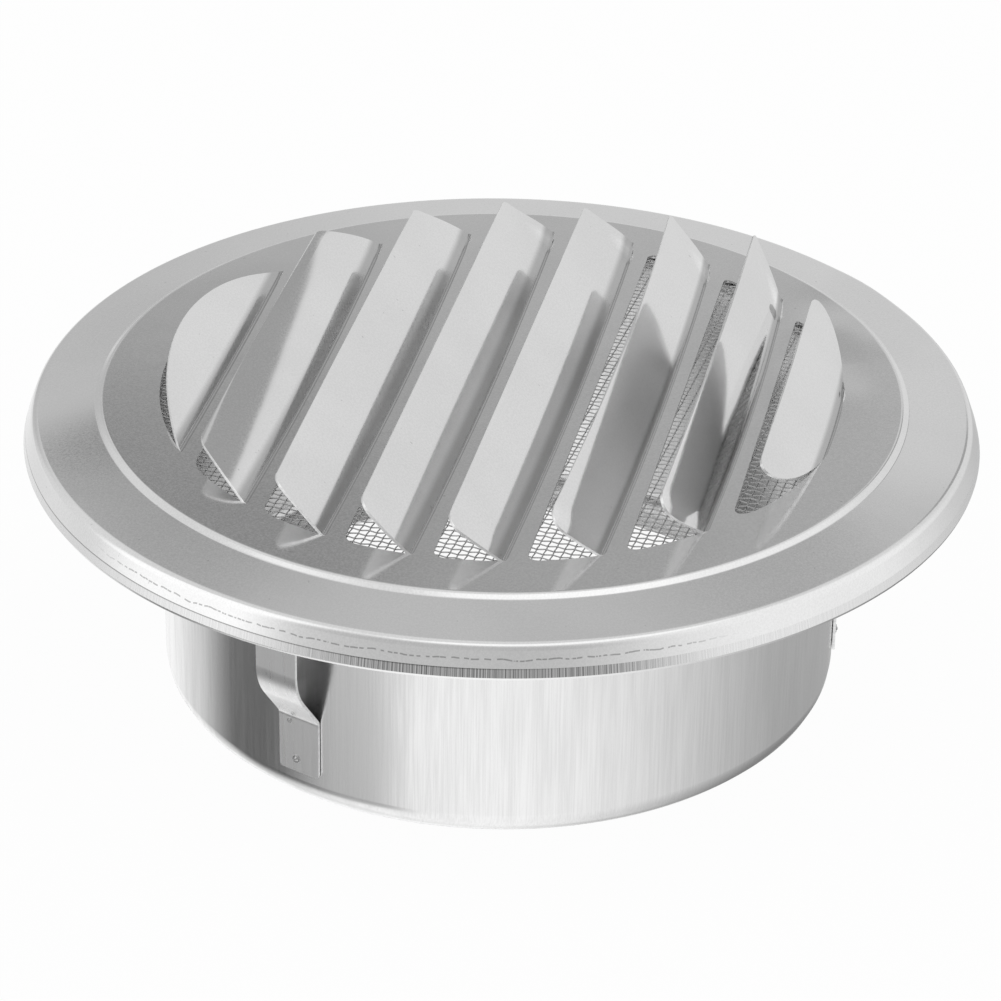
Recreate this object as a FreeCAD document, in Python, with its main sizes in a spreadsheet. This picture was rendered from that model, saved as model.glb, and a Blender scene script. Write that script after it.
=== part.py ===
"""Round vent cover of sheet steel: louvred face, insect screen, drawn collar and three spring clips.

Millimetres, +Z up. The origin is the centre of the wall plane, in which the edge of the face's skirt lies.
The louvres run along Y and are bent up about their +X side. The collar goes down into the duct.
"""

import FreeCAD, Part
import math
import os
import Sketcher

# Driving sizes in millimetres, and angles in degrees
SIZES = {
    "sheet_thickness": 0.5,
    # Collar, from the duct end upwards
    "collar_diameter": 117.6,
    "collar_depth": 45.8,
    "collar_corner": 4.8,
    "lip_land": 1.2,
    "flange_bend": 1.0,
    # Chain of widths from the collar out to the skirt
    "screen_grip": 2.5,
    "screen_clearance": 0.3,
    "joggle_width": 0.6,
    "weld_land": 4.4,
    "panel_margin": 2.0,
    "step_width": 1.0,
    "border_width": 10.8,
    "bevel_width": 1.6,
    # Chain of heights from the wall plane up to the panel
    "skirt_height": 1.9,
    "bevel_height": 3.6,
    "border_rise": 1.7,
    "step_rise": 0.7,
    "rim_bend": 1.0,
    "step_bend": 0.5,
    # Louvres
    "louvre_width": 12.0,
    "land_width": 3.0,
    "louvre_place": -2.5,
    "louvre_inset": 0.1,
    "louvre_bend": 2.9,
    "near_corner": 2.0,
    "far_corner": 1.0,
    "tilt_1": 30.0,
    "tilt_2": 31.0,
    "tilt_3": 36.0,
    "tilt_4": 42.0,
    "tilt_5": 38.0,
    "tilt_6": 47.0,
    "tilt_7": 57.0,
    "tilt_8": 46.0,
    # Insect screen
    "wire_diameter": 0.25,
    "strand_pitch": 12.0,
    "strand_width": 1.0,
    "screen_hem": 3.0,
    # Spring clips
    "clip_bearing": -112.5,
    "clip_width": 8.0,
    "clip_thickness": 0.5,
    "clip_foot_rise": 1.9,
    "clip_foot_height": 11.0,
    "clip_stand": 6.1,
    "clip_fold": 36.0,
    "clip_inner_bend": 2.0,
    "clip_outer_bend": 10.0,
    "clip_rim_gap": 4.0,
    "spot_pitch": 7.2,
    "spot_diameter": 1.6,
    "spot_height": 0.3,
    "spot_bevel": 0.15,
}

# The sheet has a tilt for each of this many louvres, and the middle one has this number
LOUVRE_TILTS = 8
MIDDLE_TILT = 4
CLIP_COUNT = 3
FULL_TURN = 360
# A solid that cuts or trims reaches past what it cuts by this many thicknesses, half to each side
CUT_DEPTH = 4
# Two lengths nearer than this are the same edge
SAME_PLACE = 1e-4
# Share of the radius that the middle of a quarter bend lies from its centre, along each axis
DIAGONAL = math.sqrt(2) / 2
UPRIGHT = FreeCAD.Vector(0, 0, 1)

doc = FreeCAD.newDocument("RoundVentCover")
sheet = doc.addObject("Spreadsheet::Sheet", "Sizes")
for row, (alias, value) in enumerate(SIZES.items(), start=1):
    sheet.set(f"A{row}", alias)
    sheet.set(f"B{row}", str(value))
    sheet.setAlias(f"B{row}", alias)
doc.recompute()

# Sizes that follow from the driving ones, as expressions
TURN = str(FULL_TURN)
SHEET = "Sizes.sheet_thickness"
COLLAR_RADIUS = "(Sizes.collar_diameter / 2)"
COLLAR_FOOT = "(-Sizes.collar_depth)"
SCREEN_RADIUS = f"({COLLAR_RADIUS} + Sizes.screen_grip)"
JOGGLE_START = f"({SCREEN_RADIUS} + Sizes.screen_clearance)"
JOGGLE_END = f"({JOGGLE_START} + Sizes.joggle_width)"
FLANGE_RADIUS = f"({JOGGLE_END} + Sizes.weld_land)"
PANEL_RADIUS = f"({FLANGE_RADIUS} + Sizes.panel_margin)"
STEP_RADIUS = f"({PANEL_RADIUS} + Sizes.step_width)"
BORDER_RADIUS = f"({STEP_RADIUS} + Sizes.border_width)"
FACE_RADIUS = f"({BORDER_RADIUS} + Sizes.bevel_width)"
BEVEL_TOP = "(Sizes.skirt_height + Sizes.bevel_height)"
BORDER_TOP = f"({BEVEL_TOP} + Sizes.border_rise)"
PANEL_TOP = f"({BORDER_TOP} + Sizes.step_rise)"
PANEL_BACK = f"({PANEL_TOP} - {SHEET})"
SCREEN_BACK = f"({PANEL_BACK} - 2 * Sizes.wire_diameter)"
SKIRT_SLOPE = "90 deg"
BEVEL_SLOPE = "atan2(Sizes.bevel_height; Sizes.bevel_width)"
BORDER_SLOPE = "atan2(Sizes.border_rise; Sizes.border_width)"
STEP_SLOPE = "atan2(Sizes.step_rise; Sizes.step_width)"
PANEL_SLOPE = "0 deg"
LOUVRE_PITCH = "(Sizes.louvre_width + Sizes.land_width)"
LOUVRE_RADIUS = f"({COLLAR_RADIUS} - Sizes.louvre_inset)"


def size(expression):
    """Number that an expression has with the sheet's present sizes."""
    return float(sheet.evalExpression(expression))


def negative(expression):
    return f"(-({expression}))"


def origin_plane(body, role):
    return next(plane for plane in body.Origin.OriginFeatures if plane.Role == role)


def body_sketch(body, name, role):
    """Sketch on one of its own body's origin planes."""
    sketch = body.newObject("Sketcher::SketchObject", name)
    sketch.AttachmentSupport = (origin_plane(body, role), "")
    sketch.MapMode = "FlatFace"
    return sketch


def fix_point(sketch, geometry, end, x, y):
    """Bind a point of the sketch to two expressions, measured from the sketch's origin."""
    for kind, expression in (("DistanceX", x), ("DistanceY", y)):
        constraint = Sketcher.Constraint(kind, -1, 1, geometry, end, size(expression))
        index = sketch.addConstraint(constraint)
        sketch.setExpression(f"Constraints[{index}]", expression)


def arc_through(first, via, last):
    """Anticlockwise arc from the first point to the last, as a sketch keeps it."""
    through = Part.Circle(first, via, last)
    circle = Part.Circle(through.Center, UPRIGHT, through.Radius)
    start, finish = [math.atan2(*reversed((point - circle.Center)[:2])) for point in (first, last)]
    return Part.ArcOfCircle(circle, start, finish)


def draw_outline(sketch, corners):
    """Closed outline through corners: (x, y) is reached by a line, (x, y, via_x, via_y) by an arc."""
    places = [FreeCAD.Vector(size(corner[0]), size(corner[1]), 0) for corner in corners]
    ends = []
    for index, corner in enumerate(corners):
        start, finish = places[index - 1], places[index]
        if len(corner) == 2:
            geometry = sketch.addGeometry(Part.LineSegment(start, finish), False)
            ends.append((geometry, 1, 2))
            continue
        via_x, via_y = corner[2:]
        via = FreeCAD.Vector(size(via_x), size(via_y), 0)
        leftward = (via - start).cross(finish - via).z > 0
        first, last = (start, finish) if leftward else (finish, start)
        geometry = sketch.addGeometry(arc_through(first, via, last), False)
        ends.append((geometry, 1, 2) if leftward else (geometry, 2, 1))
        point = sketch.addGeometry(Part.Point(via), True)
        fix_point(sketch, point, 1, via_x, via_y)
        sketch.addConstraint(Sketcher.Constraint("PointOnObject", point, 1, geometry))
    for index, (geometry, first, last) in enumerate(ends):
        before, _, before_last = ends[index - 1]
        sketch.addConstraint(Sketcher.Constraint("Coincident", before, before_last, geometry, first))
        fix_point(sketch, geometry, last, *corners[index][:2])


def sketch_circle(sketch, centre, radius):
    """Circle in a sketch with its radius bound to an expression."""
    circle = sketch.addGeometry(Part.Circle(centre, UPRIGHT, size(radius)), False)
    index = sketch.addConstraint(Sketcher.Constraint("Radius", circle, size(radius)))
    sketch.setExpression(f"Constraints[{index}]", radius)
    return circle


def revolve(body, sketch, name):
    feature = body.newObject("PartDesign::Revolution", name)
    feature.Profile = sketch
    feature.ReferenceAxis = (sketch, ["V_Axis"])
    feature.Angle = FULL_TURN
    return feature


def round_edges(feature, belongs):
    """Names of the circular edges of a feature whose curve passes the given test."""
    names = [
        f"Edge{number}"
        for number, edge in enumerate(feature.Shape.Edges, start=1)
        if isinstance(edge.Curve, Part.Circle) and belongs(edge.Curve)
    ]
    if not names:
        raise RuntimeError(f"{feature.Name} has no such round edge")
    return names


def miter(x, z, slope_before, slope_after, stand):
    """Point that stands straight off the corner (x, z) of two slopes by the given height above both."""
    middle = f"(({slope_before} + {slope_after}) / 2)"
    away = f"({stand} / cos(({slope_before} - {slope_after}) / 2))"
    return f"({x} + {away} * sin{middle})", f"({z} + {away} * cos{middle})"


def press_bend(x, z, slope_before, slope_after, inside, crest, depth):
    """Start, end and middle of a bend's arc, at a depth below the sheet's upper face.

    The two slopes meet at (x, z) on the upper face. The centre of a crest lies below the sheet, and that of a
    trough above it. The inside radius is the one on the centre's side.
    """
    if crest:
        radius = f"({inside} + {SHEET} - {depth})"
        centre_x, centre_z = miter(x, z, slope_before, slope_after, f"(-({inside} + {SHEET}))")
    else:
        radius = f"(-({inside} + {depth}))"
        centre_x, centre_z = miter(x, z, slope_before, slope_after, inside)
    slopes = (slope_before, slope_after, f"({slope_before} + {slope_after}) / 2")
    return [
        (f"{centre_x} + {radius} * sin({slope})", f"{centre_z} + {radius} * cos({slope})") for slope in slopes
    ]


def pressed_sheet():
    """Dish of even thickness: skirt, bevel, sloping border, step and flat panel, with bends between them."""
    bends = (
        (BORDER_RADIUS, BEVEL_TOP, BEVEL_SLOPE, BORDER_SLOPE, "Sizes.rim_bend", True),
        (STEP_RADIUS, BORDER_TOP, BORDER_SLOPE, STEP_SLOPE, "Sizes.step_bend", False),
        (PANEL_RADIUS, PANEL_TOP, STEP_SLOPE, PANEL_SLOPE, "Sizes.step_bend", True),
    )
    skirt_top = (FACE_RADIUS, "Sizes.skirt_height")
    outline = [(FACE_RADIUS, "0"), skirt_top]
    for bend in bends:
        start, end, middle = press_bend(*bend, depth="0")
        outline += [start, end + middle]
    outline += [("0", PANEL_TOP), ("0", PANEL_BACK)]
    for bend in reversed(bends):
        start, end, middle = press_bend(*bend, depth=SHEET)
        outline += [end, start + middle]
    outline += [
        miter(*skirt_top, SKIRT_SLOPE, BEVEL_SLOPE, f"(-{SHEET})"),
        (f"{FACE_RADIUS} - {SHEET}", "0"),
    ]
    body = doc.addObject("PartDesign::Body", "PressedSheet")
    sketch = body_sketch(body, "PressProfile", "XZ_Plane")
    draw_outline(sketch, outline)
    body.Tip = revolve(body, sketch, "PressForm")
    return body


def louvre_outline(name, bend, edge):
    """Flat outline of one louvre, with its bend line on the sketch's Y axis and its fixed side at x = edge.

    The ends lie on the circle of louvre ends, and the two free corners are rounded. A louvre that the side
    of that circle leaves narrower than the rest has no straight free edge: it is a segment of the circle.
    """
    sketch = doc.addObject("Sketcher::SketchObject", name)
    chord = f"sqrt({LOUVRE_RADIUS} ^ 2 - ({bend} + {edge}) ^ 2)"
    free = f"({bend} - Sizes.louvre_width)"
    corner_radii = ("Sizes.near_corner", "Sizes.far_corner")
    rooms = [size(f"{LOUVRE_RADIUS} - {radius} - abs({free} + {radius})") for radius in corner_radii]
    if min(rooms) <= 0:
        draw_outline(sketch, [
            (edge, negative(chord), f"-{LOUVRE_RADIUS} - {bend}", "0"),
            (edge, chord),
        ])
        return sketch
    ends = []
    for radius in corner_radii:
        reach = f"({LOUVRE_RADIUS} - {radius})"
        centre_x = f"({free} + {radius})"
        centre_y = f"sqrt({reach} ^ 2 - {centre_x} ^ 2)"
        spread = f"sqrt(2 - 2 * {centre_x} / {reach})"
        middle = f"(({bend} + {edge} + {centre_x} * {LOUVRE_RADIUS} / {reach}) / 2)"
        ends.append({
            "side": ("(-Sizes.louvre_width)", centre_y),
            "rounding": (
                f"{centre_x} + {radius} * ({centre_x} / {reach} - 1) / {spread} - {bend}",
                f"{centre_y} + {radius} * {centre_y} / {reach} / {spread}",
            ),
            "end": (
                f"{centre_x} * {LOUVRE_RADIUS} / {reach} - {bend}",
                f"{centre_y} * {LOUVRE_RADIUS} / {reach}",
            ),
            "bow": (f"{middle} - {bend}", f"sqrt({LOUVRE_RADIUS} ^ 2 - {middle} ^ 2)"),
        })
    near, far = ends
    near = {key: (x, negative(y)) for key, (x, y) in near.items()}
    draw_outline(sketch, [
        (edge, negative(chord)) + near["bow"],
        (edge, chord),
        far["end"] + far["bow"],
        far["side"] + far["rounding"],
        near["side"],
        near["end"] + near["rounding"],
    ])
    return sketch


def extrude(name, sketch, length):
    """Solid that a sketch sweeps, half to each side of its plane."""
    feature = doc.addObject("Part::Extrusion", name)
    feature.Base = sketch
    feature.DirMode = "Normal"
    feature.Solid = True
    feature.Symmetric = True
    feature.setExpression("LengthFwd", length)
    return feature


def place(feature, x, z, axis, angle):
    """Bind the placement of a sketch or body: its origin at (x, 0, z), turned about an axis by an angle."""
    feature.Placement = FreeCAD.Placement(FreeCAD.Vector(), FreeCAD.Rotation(axis, size(angle)))
    feature.setExpression("Placement.Base.x", x)
    feature.setExpression("Placement.Base.z", z)
    feature.setExpression("Placement.Rotation.Angle", angle)


def louvre_flap(number, bend, tilt):
    """Flap of one louvre: a bent strip, cut to the outline of its own opening laid on the flap's plane."""
    radius = "Sizes.louvre_bend"
    arc = f"({radius} * {tilt} * pi / 180)"
    straight = f"(Sizes.louvre_width - {arc} + {radius})"
    outer = f"({radius} + {SHEET})"
    rise = f"({radius} * (1 - cos({tilt})))"
    tip_x = f"(-{radius} * sin({tilt}) - {straight} * cos({tilt}))"
    tip_z = f"({rise} + {straight} * sin({tilt}))"
    profile = doc.addObject("Sketcher::SketchObject", f"FlapProfile{number}")
    draw_outline(profile, [
        ("0", "0"),
        (f"-{radius} * sin({tilt})", rise,
         f"-{radius} * sin({tilt} / 2)", f"{radius} * (1 - cos({tilt} / 2))"),
        (tip_x, tip_z),
        (f"{tip_x} - {SHEET} * sin({tilt})", f"{tip_z} - {SHEET} * cos({tilt})"),
        (f"-{outer} * sin({tilt})", f"{radius} - {outer} * cos({tilt})"),
        ("0", f"-{SHEET}", f"-{outer} * sin({tilt} / 2)", f"{radius} - {outer} * cos({tilt} / 2)"),
    ])
    place(profile, bend, PANEL_TOP, FreeCAD.Vector(1, 0, 0), "90")
    strip = extrude(f"FlapStrip{number}", profile, f"2 * {LOUVRE_RADIUS}")
    outline = louvre_outline(f"FlapOutline{number}", bend, SHEET)
    place(
        outline,
        f"{bend} - {radius} * sin({tilt}) + {arc} * cos({tilt})",
        f"{PANEL_TOP} + {rise} - {arc} * sin({tilt})",
        FreeCAD.Vector(0, 1, 0),
        tilt,
    )
    blank = extrude(f"FlapBlank{number}", outline, f"{CUT_DEPTH} * {outer}")
    flap = doc.addObject("Part::Common", f"Flap{number}")
    flap.Base = strip
    flap.Tool = blank
    return flap


def louvre_numbers():
    """Places of the louvres, counted from the one beside the middle, that the circle has room for.

    A louvre has room where its bend line is at least as long as the louvre is wide, and where at least half
    of its width lies inside the circle.
    """
    circle = size(LOUVRE_RADIUS)
    pitch = size(LOUVRE_PITCH)
    width = size("Sizes.louvre_width")
    most = int(circle / pitch) + 1
    for number in range(-most, most + 1):
        bend = size("Sizes.louvre_place") + number * pitch
        fixed = bend + size(SHEET)
        if abs(fixed) < circle - SAME_PLACE and bend - width / 2 > -circle:
            if 2 * math.sqrt(circle**2 - fixed**2) >= width:
                yield number


def face_plate():
    """Pressed sheet with its openings cut and a flap bent up from each."""
    sheet_body = pressed_sheet()
    openings = []
    flaps = []
    for number in louvre_numbers():
        tilt_number = min(max(number + MIDDLE_TILT, 1), LOUVRE_TILTS)
        bend = f"(Sizes.louvre_place + ({number}) * {LOUVRE_PITCH})"
        name = str(len(flaps) + 1)
        outline = louvre_outline(f"OpeningOutline{name}", bend, "0")
        place(outline, bend, PANEL_TOP, UPRIGHT, "0")
        openings.append(extrude(f"Opening{name}", outline, f"{CUT_DEPTH} * {SHEET}"))
        flaps.append(louvre_flap(name, bend, f"Sizes.tilt_{tilt_number}"))
    punch = doc.addObject("Part::MultiFuse", "Openings")
    punch.Shapes = openings
    lanced = doc.addObject("Part::Cut", "LancedSheet")
    lanced.Base = sheet_body
    lanced.Tool = punch
    plate = doc.addObject("Part::MultiFuse", "FacePlate")
    plate.Shapes = [lanced] + flaps
    plate.Label = "face_plate"
    return plate


def insect_screen():
    """Screen disc: warp strands over weft strands, held together by a flat hem."""
    disc = doc.addObject("Part::Cylinder", "ScreenDisc")
    disc.setExpression("Radius", SCREEN_RADIUS)
    disc.setExpression("Height", "2 * Sizes.wire_diameter")
    disc.setExpression("Placement.Base.z", SCREEN_BACK)
    mouth = doc.addObject("Part::Cylinder", "ScreenMouth")
    mouth.setExpression("Radius", f"{SCREEN_RADIUS} - Sizes.screen_hem")
    mouth.setExpression("Height", "2 * Sizes.wire_diameter")
    mouth.setExpression("Placement.Base.z", SCREEN_BACK)
    hem = doc.addObject("Part::Cut", "ScreenHem")
    hem.Base = disc
    hem.Tool = mouth
    strands = []
    most = int((size(SCREEN_RADIUS) - size("Sizes.screen_hem")) / size("Sizes.strand_pitch"))
    for number in range(-most, most + 1):
        offset = f"({number}) * Sizes.strand_pitch - Sizes.strand_width / 2"
        for name, along, across, height in (
            ("Weft", "x", "y", SCREEN_BACK),
            ("Warp", "y", "x", f"{SCREEN_BACK} + Sizes.wire_diameter"),
        ):
            strand = doc.addObject("Part::Box", f"{name}{number + most + 1}")
            length, width = ("Length", "Width") if along == "x" else ("Width", "Length")
            strand.setExpression(length, f"2 * {SCREEN_RADIUS}")
            strand.setExpression(width, "Sizes.strand_width")
            strand.setExpression("Height", "Sizes.wire_diameter")
            strand.setExpression(f"Placement.Base.{along}", negative(SCREEN_RADIUS))
            strand.setExpression(f"Placement.Base.{across}", offset)
            strand.setExpression("Placement.Base.z", height)
            strands.append(strand)
    weave = doc.addObject("Part::MultiFuse", "Weave")
    weave.Shapes = strands
    cut_weave = doc.addObject("Part::Common", "CutWeave")
    cut_weave.Base = weave
    cut_weave.Tool = disc
    screen = doc.addObject("Part::MultiFuse", "InsectScreen")
    screen.Shapes = [cut_weave, hem]
    screen.Label = "insect_screen"
    return screen


def collar():
    """Drawn ring: lip turned in below, wall, and a flange with a joggle that clears the screen's hem."""
    corner = "Sizes.collar_corner"
    bend = "Sizes.flange_bend"
    wall_inside = f"({COLLAR_RADIUS} - {SHEET})"
    lip_end = f"({COLLAR_RADIUS} - {corner} - Sizes.lip_land)"
    corner_x = f"({COLLAR_RADIUS} - {corner})"
    corner_z = f"({COLLAR_FOOT} + {corner})"
    inner_corner = f"({corner} - {SHEET})"
    flange_back = f"({SCREEN_BACK} - {SHEET})"
    bend_x = f"({COLLAR_RADIUS} + {bend})"
    bend_z = f"({flange_back} - {bend})"
    outer_bend = f"({bend} + {SHEET})"
    body = doc.addObject("PartDesign::Body", "Collar")
    sketch = body_sketch(body, "CollarProfile", "XZ_Plane")
    draw_outline(sketch, [
        (lip_end, COLLAR_FOOT),
        (corner_x, COLLAR_FOOT),
        (COLLAR_RADIUS, corner_z,
         f"{corner_x} + {corner} * {DIAGONAL}", f"{corner_z} - {corner} * {DIAGONAL}"),
        (COLLAR_RADIUS, bend_z),
        (bend_x, flange_back, f"{bend_x} - {bend} * {DIAGONAL}", f"{bend_z} + {bend} * {DIAGONAL}"),
        (JOGGLE_START, flange_back),
        (JOGGLE_END, f"{PANEL_BACK} - {SHEET}"),
        (FLANGE_RADIUS, f"{PANEL_BACK} - {SHEET}"),
        (FLANGE_RADIUS, PANEL_BACK),
        (JOGGLE_END, PANEL_BACK),
        (JOGGLE_START, SCREEN_BACK),
        (bend_x, SCREEN_BACK),
        (wall_inside, bend_z,
         f"{bend_x} - {outer_bend} * {DIAGONAL}", f"{bend_z} + {outer_bend} * {DIAGONAL}"),
        (wall_inside, corner_z),
        (corner_x, f"{COLLAR_FOOT} + {SHEET}",
         f"{corner_x} + {inner_corner} * {DIAGONAL}", f"{corner_z} - {inner_corner} * {DIAGONAL}"),
        (lip_end, f"{COLLAR_FOOT} + {SHEET}"),
    ])
    body.Tip = revolve(body, sketch, "DrawnRing")
    body.Label = "collar"
    return body


def spring_clip(number):
    """Folded strip: foot on the collar, slant outwards, leaf upright, and two weld spots on the foot."""
    fold = "Sizes.clip_fold"
    gauge = "Sizes.clip_thickness"
    inner = "Sizes.clip_inner_bend"
    outer = "Sizes.clip_outer_bend"
    foot_x = COLLAR_RADIUS
    leaf_x = f"({foot_x} + Sizes.clip_stand)"
    foot_low = f"({COLLAR_FOOT} + Sizes.collar_corner + Sizes.clip_foot_rise)"
    foot_high = f"({foot_low} + Sizes.clip_foot_height)"
    first_x = f"({foot_x} + {gauge} + {inner})"
    second_x = f"({leaf_x} - {outer})"
    slant = f"((Sizes.clip_stand - ({outer} + {inner} + {gauge}) * (1 - cos({fold}))) / tan({fold}))"
    second_z = f"({foot_high} + ({inner} + {gauge} + {outer}) * sin({fold}) + {slant})"
    leaf_top = "(-Sizes.clip_rim_gap)"
    faces = []
    for depth in ("0", gauge):
        near = f"({inner} + {gauge} - {depth})"
        far = f"({outer} + {depth})"
        faces.append([
            (f"{foot_x} + {depth}", foot_low),
            (f"{foot_x} + {depth}", foot_high),
            (f"{first_x} - {near} * cos({fold})", f"{foot_high} + {near} * sin({fold})",
             f"{first_x} - {near} * cos({fold} / 2)", f"{foot_high} + {near} * sin({fold} / 2)"),
            (f"{second_x} + {far} * cos({fold})", f"{second_z} - {far} * sin({fold})"),
            (f"{leaf_x} + {depth}", second_z,
             f"{second_x} + {far} * cos({fold} / 2)", f"{second_z} - {far} * sin({fold} / 2)"),
            (f"{leaf_x} + {depth}", leaf_top),
        ])
    inside, outside = faces
    # Going back down the outside, each arc is reached at its upper end first
    back = [
        outside[5],
        outside[4][:2],
        outside[3] + outside[4][2:],
        outside[2][:2],
        outside[1] + outside[2][2:],
        outside[0],
    ]
    body = doc.addObject("PartDesign::Body", f"SpringClip{number}")
    profile = body_sketch(body, f"ClipProfile{number}", "XZ_Plane")
    draw_outline(profile, inside + back)
    strip = body.newObject("PartDesign::Pad", f"ClipStrip{number}")
    strip.Profile = profile
    strip.Midplane = True
    strip.setExpression("Length", "Sizes.clip_width")
    doc.recompute()
    spots = body_sketch(body, f"SpotOutline{number}", "YZ_Plane")
    spots.setExpression("AttachmentOffset.Base.z", f"{foot_x} + {gauge}")
    for side in ("-", "+"):
        height = f"{foot_low} + (Sizes.clip_foot_height {side} Sizes.spot_pitch) / 2"
        centre = FreeCAD.Vector(0, size(height), 0)
        circle = sketch_circle(spots, centre, "Sizes.spot_diameter / 2")
        fix_point(spots, circle, 3, "0", height)
    raised = body.newObject("PartDesign::Pad", f"WeldSpots{number}")
    raised.Profile = spots
    raised.setExpression("Length", "Sizes.spot_height")
    doc.recompute()
    domed = body.newObject("PartDesign::Chamfer", f"SpotBevel{number}")
    spot_top = size(f"{foot_x} + {gauge} + Sizes.spot_height")
    spot_edges = round_edges(raised, lambda curve: abs(curve.Center.x - spot_top) < SAME_PLACE)
    domed.Base = (raised, spot_edges)
    domed.setExpression("Size", "Sizes.spot_bevel")
    body.Tip = domed
    # A whole turn is added so that the angle is never negative
    place(body, "0", "0", UPRIGHT, f"Sizes.clip_bearing + {TURN} * {number - 1} / {CLIP_COUNT} + {TURN}")
    body.Label = f"spring_clip_{number}"
    return body


def check_document():
    """Stop on any feature that failed to build."""
    for thing in doc.Objects:
        if "Invalid" in thing.State or "Error" in thing.State:
            raise RuntimeError(f"{thing.Name} is {thing.State}")


pieces = [face_plate(), insect_screen(), collar()]
pieces += [spring_clip(number) for number in range(1, CLIP_COUNT + 1)]
doc.recompute()
check_document()
for piece in pieces:
    if piece.Shape.isNull() or not piece.Shape.isValid() or len(piece.Shape.Solids) != 1:
        raise RuntimeError(f"{piece.Label} is not one sound solid")

os.makedirs("parts", exist_ok=True)
for piece in pieces:
    piece.Shape.exportStep(f"parts/{piece.Label}.step")
    box = piece.Shape.BoundBox
    print(f"{piece.Label}: volume {piece.Shape.Volume:.1f} mm3, z {box.ZMin:.2f} to {box.ZMax:.2f}, "
          f"x {box.XMin:.2f} to {box.XMax:.2f}, y {box.YMin:.2f} to {box.YMax:.2f}")
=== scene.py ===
"""Dressed model of the round vent cover: louvred face, woven screen, drawn collar and spring clips."""
import math

import bpy
import numpy as np
from mathutils import Matrix, Vector


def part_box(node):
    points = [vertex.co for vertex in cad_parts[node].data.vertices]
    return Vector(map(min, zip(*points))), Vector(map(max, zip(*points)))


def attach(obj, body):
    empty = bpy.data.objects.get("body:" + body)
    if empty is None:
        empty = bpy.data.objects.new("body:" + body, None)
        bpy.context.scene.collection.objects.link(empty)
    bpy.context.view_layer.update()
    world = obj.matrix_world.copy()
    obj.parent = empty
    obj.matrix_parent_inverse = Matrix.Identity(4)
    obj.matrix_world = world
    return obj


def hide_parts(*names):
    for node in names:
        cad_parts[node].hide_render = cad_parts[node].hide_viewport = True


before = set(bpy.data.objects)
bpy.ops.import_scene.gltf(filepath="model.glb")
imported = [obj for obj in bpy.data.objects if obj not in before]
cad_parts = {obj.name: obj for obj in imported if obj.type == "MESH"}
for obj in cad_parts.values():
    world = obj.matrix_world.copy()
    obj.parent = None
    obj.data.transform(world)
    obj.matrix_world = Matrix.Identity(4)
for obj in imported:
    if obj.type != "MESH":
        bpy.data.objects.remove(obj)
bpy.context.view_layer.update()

# Sizes in millimetres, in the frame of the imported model
METRE = 1000.0
SHEET = 0.5
EDGE_BULGE = 0.04
_, face_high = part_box("face_plate")
collar_low, collar_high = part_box("collar")

# Profile of the pressed face, from the panel out to the skirt's cut edge, and the radii of its bends
FACE_RADIUS = METRE * face_high.x
PANEL_RADIUS = 68.6
PANEL_TOP = 7.9
STEP_RADIUS = 69.6
STEP_TOP = 7.2
BORDER_RADIUS = FACE_RADIUS - 1.6
BORDER_TOP = 5.5
SKIRT_RADIUS = FACE_RADIUS - 0.3
SKIRT_TOP = 1.9
FLARE_RADIUS = FACE_RADIUS + 0.1
FLARE_TOP = 0.4
CREST_BEND = 1.0
TROUGH_BEND = 0.5
RIM_BEND = 1.5
SKIRT_BEND = 0.25
FLARE_BEND = 0.12

# Louvres: flaps along Y inside the louvre circle, each bent up along its +X side, with a land between two
LOUVRE_CIRCLE = 58.7
LOUVRE_WIDTH = 12.0
LAND_WIDTH = 3.0
FIRST_BEND = -47.5
LOUVRE_BEND = 1.1

# Each louvre's tilt in degrees, what it gains at the far end and loses at the near one, what it gains in
# the middle, and what it loses from the bend to the free edge
LOUVRE_TILTS = (35.0, 32.0, 36.5, 41.5, 38.5, 47.5, 57.0, 46.0)
FLAP_TWISTS = (1.0, 5.5, 1.5, 0.0, 0.0, 0.0, 0.0, 0.0)
MIDDLE_TILTS = (0.0, 0.0, 0.0, 0.0, 1.0, 4.0, 2.0, 2.0)
FLAP_CURLS = (4.0, 13.0, 5.0, -4.0, 2.0, 1.0, 1.0, 1.0)

# How far each louvre's bend and free edge bow out, and how far the bend's dull band of painted shade
# reaches over the flap
BEND_BOWS = (0.3, 0.9, 0.9, 0.9, 0.9, 0.9, 0.9, 0.4)
EDGE_BOWS = (0.0, 0.0, 0.0, 0.0, 0.0, 0.9, 0.0, 0.0)
BEND_SHADE_REACHES = (4.2, 4.2, 4.2, 4.2, 4.2, 3.2, 2.8, 3.2)

# Corner radii of each flap and of the opening that it is cut from
FLAP_NEAR_CORNERS = (0.0, 1.5, 2.0, 2.6, 3.0, 4.0, 4.5, 9.0)
FLAP_FAR_CORNERS = (0.0, 1.2, 1.0, 1.0, 1.0, 1.0, 1.2, 10.0)
OPENING_NEAR_CORNERS = (2.4, 2.4, 2.4, 2.4, 2.4, 2.4, 2.4, 5.0)
OPENING_FAR_CORNER = 1.5

# How far each flap's near corner hangs down, and how far that reaches along the flap
FLAP_DROOPS = (0.0, 0.0, 0.0, 0.0, 0.3, 0.6, 0.7, 0.0)
DROOP_LENGTH = 5.5

# How far the far corner of each louvre's bend stands up off the panel, where the cut turns the corner,
# and how far that reaches along the bend and over the flap
CORNER_LIFTS = (0.2, 0.4, 0.6, 1.5, 1.6, 1.5, 1.8, 0.5)
LIFT_LENGTH = 5.0
LIFT_FLAP = 12.0

# Shallow waves of the panel beside the last louvre
RIPPLE_MIDDLE = 53.0
RIPPLE_REACH = 11.0
RIPPLE_CREST = 12.2
RIPPLE_LENGTH = 22.0
RIPPLE_HEIGHT = 0.24

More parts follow.
